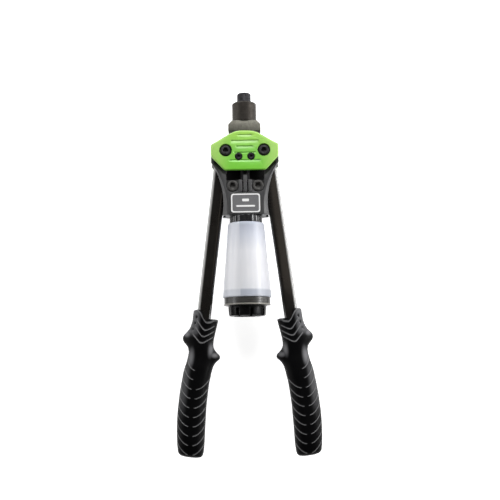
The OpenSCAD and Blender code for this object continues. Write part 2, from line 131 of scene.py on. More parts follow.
def inset(points, distance):
    """A convex outline with each of its sides moved inwards."""
    points = [np.array(p, float) for p in points]
    middle = sum(points) / len(points)
    lines = []
    for a, b in zip(points, points[1:] + points[:1]):
        normal = np.array([b[1] - a[1], a[0] - b[0]]) / np.linalg.norm(b - a)
        normal *= np.sign(normal @ (a - middle))
        lines.append((normal, normal @ a - distance))
    result = []
    for (n1, d1), (n2, d2) in zip(lines[-1:] + lines[:-1], lines):
        result.append(tuple(np.linalg.solve(np.array([n1, n2]), np.array([d1, d2]))))
    return result


def rounded_box(width, depth, radius, steps=8):
    """A rectangle about the origin with rounded corners."""
    w, d = width / 2, depth / 2
    return eased([(w, d), (w, -d), (-w, -d), (-w, d)], [radius] * 4, steps)


# ---------- Mesh pieces ----------

def add_piece(name, bm, look, body, nodes=(), axes=TOOL, crease=35):
    """Makes a piece from a mesh in millimetres, in place, on its body, with its look."""
    bmesh.ops.recalc_face_normals(bm, faces=bm.faces)
    mesh = bpy.data.meshes.new(name)
    bm.to_mesh(mesh)
    bm.free()
    mesh.transform(axes)
    if axes.determinant() < 0:
        mesh.flip_normals()
    mesh.shade_smooth()
    mesh.set_sharp_from_angle(angle=math.radians(crease))
    mesh.materials.append(look)
    piece = bpy.data.objects.new(name, mesh)
    scene.collection.objects.link(piece)
    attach(piece, body)
    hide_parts(*nodes)


def lathe(profile, steps, shaped=None):
    """A closed profile of (radius, y) points turned about Y. shaped(radius, y, angle) may change it."""
    bm = bmesh.new()
    rings = []
    for radius, y in profile:
        ring = []
        for k in range(steps):
            angle = 2 * math.pi * k / steps
            r = shaped(radius, y, angle) if shaped else radius
            ring.append(bm.verts.new((r * math.cos(angle), y, r * math.sin(angle))))
        rings.append(ring)
    for ring, following in zip(rings, rings[1:] + rings[:1]):
        for k in range(steps):
            bm.faces.new((ring[k], ring[(k + 1) % steps], following[(k + 1) % steps], following[k]))
    bmesh.ops.remove_doubles(bm, verts=bm.verts, dist=1e-4)
    return bm


def prism(outline, low, high, bm):
    """Adds an outline in X and Y to a mesh, raised from low to high in Z."""
    bottom = [bm.verts.new((x, y, low)) for x, y in outline]
    top = [bm.verts.new((x, y, high)) for x, y in outline]
    bm.faces.new(bottom)
    bm.faces.new(top)
    count = len(outline)
    for i in range(count):
        j = (i + 1) % count
        bm.faces.new((bottom[i], bottom[j], top[j], top[i]))


def loft(rings, bm=None):
    """A solid through rings of points, closed by a flat face at each end."""
    bm = bm or bmesh.new()
    rows = [[bm.verts.new(p) for p in ring] for ring in rings]
    count = len(rows[0])
    for lower, upper in zip(rows, rows[1:]):
        for i in range(count):
            j = (i + 1) % count
            bm.faces.new((lower[i], lower[j], upper[j], upper[i]))
    bm.faces.new(rows[0])
    bm.faces.new(rows[-1])
    return bm


def well(at, profile, bm):
    """Adds a round cutter to a mesh: a profile of (radius, z), from the bottom up, about an axis along Z."""
    steps = 96
    turns = [2 * math.pi * k / steps for k in range(steps)]
    rings = [[(at[0] + r * math.cos(turn), at[1] + r * math.sin(turn), z) for turn in turns]
             for r, z in profile]
    loft(rings, bm)


def carved(bm, *cutters):
    """bm less each of the cutters' shapes."""
    made = []
    for i, source in enumerate((bm, *cutters)):
        bmesh.ops.recalc_face_normals(source, faces=source.faces)
        mesh = bpy.data.meshes.new("carving")
        source.to_mesh(mesh)
        source.free()
        made.append(bpy.data.objects.new("carving", mesh))
        scene.collection.objects.link(made[-1])
    for cutter in made[1:]:
        modifier = made[0].modifiers.new("carve", "BOOLEAN")
        modifier.operation = "DIFFERENCE"
        modifier.solver = "EXACT"
        modifier.object = cutter
    result = bmesh.new()
    result.from_object(made[0], bpy.context.evaluated_depsgraph_get())
    for piece in made:
        mesh = piece.data
        bpy.data.objects.remove(piece)
        bpy.data.meshes.remove(mesh)
    return result


def soften(node, width, look=None):
    """A piece with the shape of a CAD node, whose edges are rounded off as machined or moulded ones are."""
    bm = bmesh.new()
    bm.from_mesh(frame["nodes"][node].data)
    bmesh.ops.remove_doubles(bm, verts=bm.verts, dist=1e-6)
    bmesh.ops.dissolve_limit(bm, angle_limit=math.radians(0.5), verts=bm.verts, edges=bm.edges)
    edges = [edge for edge in bm.edges if edge.calc_face_angle(0) > math.radians(30)]
    bmesh.ops.bevel(bm, geom=edges, offset=width * MM, segments=2, profile=0.5, affect="EDGES",
                    clamp_overlap=False, offset_type="OFFSET")
    record = subparts[node]
    add_piece("finished_" + node, bm, look or LOOKS[record["material_slot"]], bodies[node],
              [node], Matrix.Identity(4))


def grid(points, bm):
    """Adds a skin over rows of points, each of which closes round on itself, and gives its vertices."""
    rows, columns = points.shape[:2]
    verts = [[bm.verts.new(points[i, k]) for k in range(columns)] for i in range(rows)]
    for i in range(rows - 1):
        for k in range(columns):
            j = (k + 1) % columns
            bm.faces.new((verts[i][k], verts[i][j], verts[i + 1][j], verts[i + 1][k]))
    return verts


# ---------- Looks ----------

def new_look(name, colour, rough, metallic=0.0, **sockets):
    """A material with a Principled shader, whose plain values are set on its own sockets."""
    look = bpy.data.materials.new(name)
    look.use_nodes = True
    shader = look.node_tree.nodes["Principled BSDF"]
    shader.inputs["Base Color"].default_value = (*colour, 1)
    shader.inputs["Roughness"].default_value = rough
    shader.inputs["Metallic"].default_value = metallic
    for socket, value in sockets.items():
        shader.inputs[socket.replace("_", " ")].default_value = value
    return look


def node_of(look, kind, **settings):
    """A new node in a material or in the world, with its settings."""
    node = look.node_tree.nodes.new(kind)
    for key, value in settings.items():
        setattr(node, key, value)
    return node


def axes_of(look, kind="Object"):
    """A place's X, Y and Z as outputs: the object's own place, in metres, or the world's direction."""
    place = node_of(look, "ShaderNodeTexCoord")
    axes = node_of(look, "ShaderNodeSeparateXYZ")
    look.node_tree.links.new(place.outputs[kind], axes.inputs["Vector"])
    return axes.outputs


def mapped(look, value, start, end, low=0.0, high=1.0, **settings):
    """A value that goes from low to high while another goes from start to end."""
    node = node_of(look, "ShaderNodeMapRange", **settings)
    for socket, number in zip(("From Min", "From Max", "To Min", "To Max"), (start, end, low, high)):
        node.inputs[socket].default_value = number
    look.node_tree.links.new(value, node.inputs["Value"])
    return node.outputs["Result"]


def maths(look, operation, value, other=None):
    """An operation on a value and, where it takes two, on a number or a second value."""
    node = node_of(look, "ShaderNodeMath", operation=operation)
    look.node_tree.links.new(value, node.inputs[0])
    if hasattr(other, "links"):
        look.node_tree.links.new(other, node.inputs[1])
    elif other is not None:
        node.inputs[1].default_value = other
    return node.outputs["Value"]


def marked(look, layer):
    """How strongly the mesh is marked in one of its own layers."""
    return node_of(look, "ShaderNodeAttribute", attribute_name=layer).outputs["Fac"]


def overlaid(look, tone, share, colour, kind="MIX"):
    """A tone, or a plain colour, with another colour laid over it as strongly as share says."""
    mix = node_of(look, "ShaderNodeMix", data_type="RGBA", blend_type=kind)
    links = look.node_tree.links
    if hasattr(tone, "links"):
        links.new(tone, mix.inputs["A"])
    else:
        mix.inputs["A"].default_value = (*tone, 1)
    mix.inputs["B"].default_value = (*colour, 1)
    links.new(share, mix.inputs["Factor"])
    return mix.outputs["Result"]


def tones_along(look, value, stops):
    """A colour that follows a value from 0 to 1 through stops of (place, colour)."""
    node = node_of(look, "ShaderNodeValToRGB")
    elements = node.color_ramp.elements
    while len(elements) < len(stops):
        elements.new(0.5)
    for element, (at, colour) in zip(elements, stops):
        element.position = at
        element.color = (*colour, 1)
    look.node_tree.links.new(value, node.inputs["Fac"])
    return node.outputs["Color"]


def shader_of(look):
    """A look's Principled shader."""
    return look.node_tree.nodes["Principled BSDF"]


def base_of(look):
    """The tone that the shader's colour already has."""
    return shader_of(look).inputs["Base Color"].links[0].from_socket


def set_base(look, tone):
    """Gives the shader's colour a new tone."""
    look.node_tree.links.new(tone, shader_of(look).inputs["Base Color"])


def noise_of(look, size_mm, detail=3.0, stretch=(1, 1, 1), rough=0.55):
    """Noise whose grains are about size_mm across, in the object's own place."""
    place = node_of(look, "ShaderNodeTexCoord")
    mapping = node_of(look, "ShaderNodeMapping")
    mapping.inputs["Scale"].default_value = [s / (size_mm * MM) for s in stretch]
    noise = node_of(look, "ShaderNodeTexNoise")
    noise.inputs["Scale"].default_value = 1.0
    noise.inputs["Detail"].default_value = detail
    noise.inputs["Roughness"].default_value = rough
    links = look.node_tree.links
    links.new(place.outputs["Object"], mapping.inputs["Vector"])
    links.new(mapping.outputs["Vector"], noise.inputs["Vector"])
    return noise.outputs["Fac"]


def drift(look, size_mm, low, high, **noise):
    """A value that drifts from low to high over patches about size_mm across."""
    return mapped(look, noise_of(look, size_mm, **noise), 0.3, 0.7, low, high)


def mottle(look, size_mm, colour_a, colour_b, **noise):
    """Colour that drifts between two close tones."""
    set_base(look, overlaid(look, colour_a, drift(look, size_mm, 0, 1, **noise), colour_b))


def sheen_drift(look, size_mm, low, high, **noise):
    """Roughness that drifts, as from handling."""
    look.node_tree.links.new(drift(look, size_mm, low, high, **noise), shader_of(look).inputs["Roughness"])


def grain(look, size_mm, depth_mm, **noise):
    """A fine bump."""
    bump = node_of(look, "ShaderNodeBump")
    bump.inputs["Strength"].default_value = 1.0
    bump.inputs["Distance"].default_value = depth_mm * MM
    links = look.node_tree.links
    links.new(noise_of(look, size_mm, **noise), bump.inputs["Height"])
    links.new(bump.outputs["Normal"], shader_of(look).inputs["Normal"])


def painted(name, colour, rough, depth=0.01, coat=0.0, coat_ior=1.5, specular=0.5):
    """Paint or smooth plastic with faint lighter spots."""
    look = new_look(name, colour, rough, Coat_Weight=coat, Coat_Roughness=0.08, Coat_IOR=coat_ior,
                    Specular_IOR_Level=specular)
    lighter = [min(1, c * 1.35 + 0.002) for c in colour]
    mottle(look, 9, colour, lighter, detail=5)
    sheen_drift(look, 14, rough * 0.8, rough * 1.25)
    grain(look, 0.6, depth)
    return look


def metal(name, colour, rough, stretch=(1, 1, 1), size_mm=0.5, depth=0.006):
    """Bare or blackened metal, with tool marks along its stretch."""
    look = new_look(name, colour, rough, metallic=1.0)
    mottle(look, 5, [c * 0.82 for c in colour], [min(1, c * 1.15) for c in colour], detail=6)
    sheen_drift(look, size_mm * 3, rough * 0.8, rough * 1.3, stretch=stretch)
    grain(look, size_mm, depth, stretch=stretch)
    return look


def frosted(name):
    """Frosted plastic: milky and a little see-through, with painted shade, cooler and darker where parts lie
    behind it, painted reflections and a painted glow.
    """
    # A weak emission is a painted glow, standing in for light that comes through the wall
    look = new_look(name, (0.8, 0.82, 0.86), 0.5, Coat_Weight=0.12, Coat_Roughness=0.12,
                    Subsurface_Weight=0.45, Subsurface_Radius=(1, 1, 1), Subsurface_Scale=0.01,
                    Emission_Color=(0.97, 0.98, 1.0, 1), Emission_Strength=0.07)
    axes = axes_of(look)
    along = mapped(look, axes["Y"], ORIGIN.y + BOTTLE_MOUTH * MM, ORIGIN.y + BOTTLE_TOP * MM)
    # Painted shade: cooler and darker at the mouth and at the top, where parts lie behind the wall
    tone = tones_along(look, along, [
        (0.0, (0.44, 0.47, 0.54)), (0.02, (0.38, 0.41, 0.48)), (0.085, (0.40, 0.43, 0.50)),
        (0.11, (0.78, 0.79, 0.83)), (0.3, (0.82, 0.82, 0.85)), (0.6, (0.80, 0.805, 0.85)),
        (0.82, (0.57, 0.60, 0.69)), (0.94, (0.43, 0.46, 0.55)), (1.0, (0.44, 0.47, 0.56)),
    ])
    # Painted reflections: paler left of a sharp edge and again towards the right; painted shade: duller round the
    # right
    reflection_tone, shade_tone = (0.84, 0.85, 0.89), (0.72, 0.72, 0.73)
    for start, end, amount, colour, kind in ((-7.2, -8.0, 0.42, reflection_tone, "MIX"), (11, 13, 0.2, reflection_tone, "MIX"),
                                             (7, 22, 1.0, shade_tone, "MULTIPLY")):
        share = mapped(look, axes["X"], start * MM, end * MM, 0, amount)
        tone = overlaid(look, tone, share, colour, kind)
    streaks = drift(look, 7, 0, 0.8, stretch=(1, 0.08, 1), detail=2)
    set_base(look, overlaid(look, tone, streaks, (0.90, 0.91, 0.93), "MULTIPLY"))
    grain(look, 0.8, 0.01)
    return look


def green(name):
    """Moulded green plastic, with painted light that makes it yellower towards the nose and a painted sheen that
    makes it paler towards its sides.
    """
    look = new_look(name, (0.3, 0.6, 0.07), 0.32, Coat_Weight=0.6, Coat_Roughness=0.15)
    axes = axes_of(look)
    reach = 24 * MM
    # Painted light: lighter and yellower towards the nose
    along = mapped(look, axes["Y"], ORIGIN.y - reach, ORIGIN.y + reach)
    tone = tones_along(look, along, [(0, (0.205, 0.65, 0.050)), (0.5, (0.23, 0.62, 0.09)),
                                     (1, (0.42, 0.74, 0.12))])
    # Painted sheen: paler towards the sides
    outer = mapped(look, maths(look, "ABSOLUTE", axes["X"]), 14 * MM, 38 * MM, 0, 0.5,
                   interpolation_type="SMOOTHSTEP")
    tone = overlaid(look, tone, outer, (0.60, 0.80, 0.25))
    duller = drift(look, 6, 0, 1, detail=4)
    set_base(look, overlaid(look, tone, duller, (0.93, 0.95, 0.9), "MULTIPLY"))
    sheen_drift(look, 12, 0.28, 0.40)
    grain(look, 0.7, 0.012)
    return look


def ring_look(name, lip):
    """Satin black plastic, with a painted highlight along a thin lip at the height lip."""
    look = painted(name, (0.040, 0.039, 0.036), 0.34, coat=0.2)
    away = maths(look, "ABSOLUTE", maths(look, "SUBTRACT", axes_of(look)["Y"], ORIGIN.y + lip * MM))
    # Painted highlight along the lip
    near = mapped(look, away, 0.9 * MM, 0.5 * MM, 0, 0.8)
    set_base(look, overlaid(look, base_of(look), near, (0.30, 0.285, 0.25)))
    return look


def cast_look(name, raised, hollow, hollow_half_w):
    """Satin black paint on a casting, with painted light making it paler above the height raised, and painted
    shade darkening its hollows.
    """
    look = painted(name, (0.040, 0.040, 0.041), 0.42, depth=0.03)
    axes = axes_of(look)
    # Painted light: paler above the height raised, as rib tops catching the light
    above = mapped(look, axes["Z"], ORIGIN.z + raised * MM, ORIGIN.z + (raised + 0.15) * MM)
    tone = overlaid(look, base_of(look), above, (0.082, 0.082, 0.084))
    # Painted shade: near black below the height hollow, within hollow_half_w of the middle
    below = maths(look, "LESS_THAN", axes["Z"], ORIGIN.z + hollow * MM)
    within = maths(look, "LESS_THAN", maths(look, "ABSOLUTE", axes["X"]), hollow_half_w * MM)
    set_base(look, overlaid(look, tone, maths(look, "MULTIPLY", below, within), (0.006, 0.006, 0.006)))
    return look


def arm_paint(name):
    """Gloss black paint, with a painted highlight where the mesh is marked for it."""
    look = painted(name, (0.0050, 0.0036, 0.0024), 0.30, coat=1.0, coat_ior=1.6, specular=0.3)
    set_base(look, overlaid(look, base_of(look), marked(look, "painted_highlight"), (0.33, 0.328, 0.32)))
    return look


def badge_look(name, paint_height):
    """A dark grey field with white paint on whatever stands above it."""
    look = new_look(name, (0.15, 0.15, 0.155), 0.4)
    flecks = drift(look, 0.5, 0, 1, detail=4)
    field = overlaid(look, (0.13, 0.13, 0.135), flecks, (0.20, 0.20, 0.205))
    start = ORIGIN.z + paint_height * MM
    raised = mapped(look, axes_of(look)["Z"], start, start + 0.04 * MM)
    set_base(look, overlaid(look, field, raised, (0.92, 0.92, 0.91)))
    grain(look, 0.4, 0.01)
    return look


def rubber(name):
    """Black moulded rubber, with a painted sheen on the collar, necks and finger stops, and painted highlights on
    its raised lines.
    """
    look = new_look(name, (0.006, 0.006, 0.0065), 0.42, Specular_IOR_Level=0.08)
    # Painted sheen where the grip catches the light, and painted highlights on its raised lines
    tone = overlaid(look, (0.0020, 0.0020, 0.0023), marked(look, "painted_sheen"), (0.15, 0.15, 0.157))
    set_base(look, overlaid(look, tone, marked(look, "painted_highlight"), (0.17, 0.17, 0.173)))
    sheen_drift(look, 9, 0.38, 0.48)
    grain(look, 0.6, 0.02)
    return look


BOTTLE_TOP = -84.2
BOTTLE_MOUTH = span("collector_bottle")[0].y
BOTTLE_MOUTH_R = span("collector_bottle")[1].x

LOOKS = {
    "cast_black": cast_look("cast_black", 17.55, 16.6, 22.5),
    "cover_green": green("cover_green"),
    "badge": badge_look("badge", 17.80),
    "black_oxide": metal("black_oxide", (0.043, 0.042, 0.045), 0.42),
    "machined_steel": metal("machined_steel", (0.55, 0.55, 0.56), 0.28, stretch=(1, 0.1, 1)),
    "black_plastic": painted("black_plastic", (0.012, 0.012, 0.013), 0.2, coat=0.4),
    "forged_steel": metal("forged_steel", (0.22, 0.22, 0.225), 0.45, depth=0.03),
    "bronze": metal("bronze", (0.55, 0.38, 0.2), 0.4),
    "arm_black": arm_paint("arm_black"),
    "grip_rubber": rubber("grip_rubber"),
    "collar_steel": metal("collar_steel", (0.20, 0.195, 0.165), 0.55, depth=0.02),
    "dark_steel": metal("dark_steel", (0.050, 0.045, 0.040), 0.55, depth=0.015),
    "frosted_plastic": frosted("frosted_plastic"),
    "cap_black": painted("cap_black", (0.003, 0.003, 0.0033), 0.26, depth=0.02, specular=0.22),
    "seal_rubber": painted("seal_rubber", (0.02, 0.02, 0.02), 0.6),
}

for entry in frame["record"]["subparts"]:
    mesh = frame["nodes"][entry["node"]].data
    mesh.materials.clear()
    mesh.materials.append(LOOKS[entry["material_slot"]])


# ---------- Head ----------

PLATE_TOP = span("front_cover")[0].z
COVER_TOP = span("front_cover")[1].z
COVER_OUTLINE = [(11, 23.4), (40, 6.6), (40, -6.8), (24.2, -23.7)]
COVER_RADII = [7, 3, 3, 2]
PIVOT_WELL = 7.5
COVER_SCREW = (7.3, -7.6)
COVER_SCREW_WELL = 4.65
COVER_SCREW_SEAT = 18.7
# Louvres: the sharp upper edge's height, half the width, and the run down to the surface
LOUVRES = [(18.9, 8.8, 3.6), (12, 16.6, 3.8), (5.2, 10.2, 4), (-2.2, 12.9, 3), (-11.2, 18.7, 3.6)]


def louvre(high, half, run, bm):
    """A scoop with a sharp upper edge, whose ends fade out."""
    rings = []
    for x, share in ((-half - 0.4, 0.05), (-half + 1.2, 1), (half - 1.2, 1), (half + 0.4, 0.05)):
        rings.append([(x, high, COVER_TOP + 0.3), (x, high, COVER_TOP - 1.15 * share),
                      (x, high - 0.35 * run, COVER_TOP - 0.95 * share), (x, high - run, COVER_TOP + 0.3)])
    return loft(rings, bm)


def build_cover(name, face):
    """A moulded cover with a rolled edge, screw wells and louvres."""
    rings = []
    shell = both_sides(COVER_OUTLINE)
    radii = COVER_RADII + COVER_RADII[::-1]
    depth = COVER_TOP - PLATE_TOP
    roll = 1.7
    levels = [(0.25, 0), (0, 0.3), (0, depth - roll)]
    levels += [(roll * (1 - math.cos(a)), depth - roll + roll * math.sin(a))
               for a in np.linspace(0, math.pi / 2, 7)[1:]]
    for step, height in levels:
        outline = eased(inset(shell, step), [max(1.2, r - step * 0.5) for r in radii], 10)
        rings.append([(x, y, PLATE_TOP + height) for x, y in outline])
    pivot_well = [(PIVOT_WELL, PLATE_TOP - 1), (PIVOT_WELL, COVER_TOP - 0.55),
                  (PIVOT_WELL + 0.16, COVER_TOP - 0.2), (PIVOT_WELL + 0.75, COVER_TOP + 0.4)]
    screw_well = [(COVER_SCREW_WELL, COVER_SCREW_SEAT), (COVER_SCREW_WELL, COVER_TOP - 0.5),
                  (COVER_SCREW_WELL + 0.14, COVER_TOP - 0.18), (COVER_SCREW_WELL + 0.7, COVER_TOP + 0.4)]
    wells = bmesh.new()
    for side in (-1, 1):
        well((side * PIVOT_X, 0), pivot_well, wells)
        well((side * COVER_SCREW[0], COVER_SCREW[1]), screw_well, wells)
    scoops = bmesh.new()
    for scoop in LOUVRES:
        louvre(*scoop, scoops)
    bm = carved(loft(rings), wells, scoops)
    add_piece("moulded_cover_" + name, bm, LOOKS["cover_green"], "head", [name + "_cover"],
              TOOL @ Matrix.Diagonal((1, 1, face, 1)), crease=28)


build_cover("front", 1)
build_cover("rear", -1)


def build_badge():
    """A blank name plate: a raised border and two plain bars on a sunken field."""
    low, high = span("badge_plate")
    width, height = high.x - low.x, high.y - low.y
    middle = (high.y + low.y) / 2
    rings = []
    for step, z in ((0, low.z), (0, high.z - 0.12), (0.12, high.z), (1.45, high.z), (1.6, high.z - 0.3)):
        outline = rounded_box(width - 2 * step, height - 2 * step, max(3.5 - step * 0.75, 1))
        rings.append([(x, y + middle, z) for x, y in outline])
    bm = loft(rings)
    for bar_width, bar_height, place in ((8, 3.2, 3.6), (22, 2.0, -3.4)):
        outline = rounded_box(bar_width, bar_height, 0.9)
        prism([(x, y + middle + place) for x, y in outline], high.z - 0.4, high.z - 0.05, bm)
    add_piece("name_plate_blank", bm, LOOKS["badge"], "head", ["badge_plate"])


build_badge()

EDGES = {
    "front_frame": 0.2, "rear_frame": 0.2, "pivot_bolts": 0.35, "pivot_nuts": 0.35, "cover_screws_front": 0.3,
    "cover_screws_rear": 0.3, "body_bolts": 0.45, "body_nuts": 0.4, "anchor_block": 0.4, "tube_lock_nut": 0.4,
    "lever_left": 0.4, "lever_right": 0.4, "barrel_yoke": 0.6, "end_cap": 0.6,
}
WORN_LOOKS = {
    "body_bolts": metal("worn_body_bolts", (0.105, 0.103, 0.100), 0.5),
    "pivot_bolts": metal("worn_pivot_bolts", (0.062, 0.062, 0.063), 0.5),
}
for node, width in EDGES.items():
    soften(node, width, WORN_LOOKS.get(node))


# ---------- Grips ----------

# Edges of the plain grip at distances down the arm, without its finger stops
GRIP_OUTER = curve_through([
    (186, 17), (200, 17), (208, 17.5), (218, 17.8), (228, 17.4), (240, 17.3), (250, 18.3), (258, 20),
    (268, 21.3), (279, 22.1), (291, 22.5), (303, 22.5), (312, 22.2), (322, 21.5), (333, 20.3), (342, 19.1),
    (350, 17.5), (354.5, 15.9), (357.2, 13), (358.4, 8),
])
GRIP_INNER = curve_through([
    (186, -13.2), (198, -13), (208, -12), (218, -10.8), (228, -10.2), (240, -11.4), (256, -12.3),
    (264, -11.7), (273, -11.1), (285, -10.9), (297, -10.9), (307, -11.4), (320, -12.1), (332, -12.9),
    (343, -13.6), (350, -13.7), (354.5, -12.8), (357.2, -10.6), (358.4, -6),
])
# Half the grip's depth, front to back
GRIP_DEPTH = curve_through([
    (186, 12.8), (200, 13), (228, 13), (240, 12.7), (256, 13.6), (285, 14.6), (304, 14.8), (336, 14.1),
    (348, 12.9), (354.5, 10.8), (357.2, 8.3), (358.4, 4.4),
])
# How far each finger stop stands out from its edge
OUTER_STOP = curve_through([
    (203, 0), (208, 0.7), (212, 2.0), (216.5, 4.8), (219.3, 7.0), (221.4, 8.0), (223.5, 8.3), (225.6, 7.9),
    (227.6, 6.7), (230.4, 3.9), (234, 1.2), (238, 0),
])
INNER_STOP = curve_through([
    (223, 0), (229, 0.7), (233, 2.4), (236.2, 5.2), (238, 7.3), (239.4, 8.2), (241.2, 8.5), (243, 8.0),
    (244.4, 6.8), (246.4, 4.8), (249.8, 2.4), (254, 0.7), (259, 0),
])
# The V-shaped rim: distance down the arm against the place across it
GRIP_RIM = curve_through([
    (-12.4, 198.4), (-9, 198.8), (-5, 201.6), (-1, 202.4), (2, 200.6), (6, 195.2), (9, 190.9), (12, 189.5),
    (17, 190.4),
])
GRIP_START = 189.5
GRIP_END = 358.4
GRIP_SQUARENESS = 0.80
STOP_SHARPNESS = 2.4
# Each collar ridge is a V: its lowest place across and down, its legs' slopes and how round its valley is
CHEVRONS = [(0.5, 211.9), (1.9, 219.5), (3.4, 227.0)]
CHEVRON_OUTER_SLOPE = 1.4
CHEVRON_INNER_SLOPE = 0.95
CHEVRON_ROUND = 4.2
# The body's ribs rise from the middle to both edges, but the short ones only to the outer edge
RIBS = [281.0 + 10.6 * i for i in range(8)]
SHORT_RIBS = [259.4, 270.0]
RIB_RISE = 15.0
RIB_POWER = 2.4
RIDGE_HEIGHT = 0.85
DIMPLES = [(12.0, 197.6), (13.2, 204.8), (14.4, 212.2)]
DIMPLE_REACH = (1.7, 2.9)
DIMPLE_DEPTH = 1.3
DIMPLE_RIM = (-0.7, 0.9)


def patch(x, down, middle, reach):
    """A soft oval: 1 at its middle (across, down) and 0 at its reach each way."""
    away = np.hypot((x - middle[0]) / reach[0], (down - middle[1]) / reach[1])
    return ramp(away, 1, 0.1)


def grip_relief(x, down, centre, half_width):
    """Height of the raised and sunk detail on the grip's front or back, and where it gets painted highlights: its
    raised lines and a crescent by each dimple.
    """
    lines = 0.8 * (1 - ramp(down - GRIP_RIM(x), 1.2, 2.6))
    for valley, low in CHEVRONS:
        slope = np.where(x > valley, CHEVRON_OUTER_SLOPE, CHEVRON_INNER_SLOPE)
        line = low - (np.hypot(slope * (x - valley), CHEVRON_ROUND) - CHEVRON_ROUND)
        # A lower chevron reaches further out
        reach = (low - 212) * 0.12
        shown = ramp(x, -10.8, -8.6) * ramp(x, 12.2 + reach, 9.8 + reach)
        lines = np.maximum(lines, ridge((down - line) / np.hypot(1, slope), 1.15) * shown)
    across = np.clip(np.abs(x - centre) / half_width, 0, 1)
    rise = RIB_RISE * across**RIB_POWER
    steep = np.hypot(1, RIB_POWER * RIB_RISE * across ** (RIB_POWER - 1) / half_width)
    off_middle = ramp(np.abs(x - centre), 1.8, 3.2)
    for low in RIBS + SHORT_RIBS:
        shown = off_middle * ramp(x, 5.6, 7.4) if low in SHORT_RIBS else off_middle
        lines = np.maximum(lines, ridge((down - low + rise) / steep, 1.05) * shown)
    sunk_between_ribs = 0.3 * ramp(down, 262, 274) * ramp(down, 356, 350)
    height = RIDGE_HEIGHT * lines * ramp(across, 1, 0.8) - sunk_between_ribs
    for dimple in DIMPLES:
        hole = patch(x, down, dimple, DIMPLE_REACH)
        # A crescent at each dimple's rim, offset by DIMPLE_RIM, gets a painted highlight
        rim = patch(x, down, (dimple[0] + DIMPLE_RIM[0], dimple[1] + DIMPLE_RIM[1]), DIMPLE_REACH)
        height = height - DIMPLE_DEPTH * hole
        lines = np.maximum(lines, rim) * (1 - hole)
    return height, lines * ramp(across, 1, 0.9)


def grip_painted_sheen(x, down, across):
    """Where the grip gets a painted sheen: the outer collar, the necks and the finger stops."""
    collar = 0.6 * ramp(x, 6, 11) * ramp(down, 222, 214)
    collar_end = 0.3 * ramp(x, 9, 12) * ramp(down, 196, 192)
    stop_tip = patch(x, down, (21, 218.5), (6, 5))
    outer_neck = patch(x, down, (13.2, 245), (5, 15)) ** 0.8
    inner_neck = patch(x, down, (-8.6, 234), (4.4, 12))
    inner_stop = patch(x, down, (-13.5, 239.5), (6.5, 4.4))
    outer_side = 0.4 * ramp(x, 10.5, 16) * ramp(down, 246, 262) * ramp(down, 320, 280)
    greys = np.maximum.reduce([collar + collar_end, stop_tip, outer_neck, inner_neck, inner_stop, outer_side])
    for dimple in DIMPLES:
        greys = greys * (1 - patch(x, down, dimple, DIMPLE_REACH))
    return np.clip(greys, 0, 1) * ramp(across, 1.02, 0.95)


def grip_section(down):
    """The middle and half the width of the plain grip, at a distance down the arm."""
    outer, inner = GRIP_OUTER(down), GRIP_INNER(down)
    return (outer + inner) / 2, (outer - inner) / 2


def normals_of(skin):
    """The outward direction at each point of a grid that closes round on itself."""
    along = np.gradient(skin, axis=0)
    around = (np.roll(skin, -1, axis=1) - np.roll(skin, 1, axis=1)) / 2
    normal = np.cross(around, along)
    return normal / (np.linalg.norm(normal, axis=-1, keepdims=True) + 1e-9)


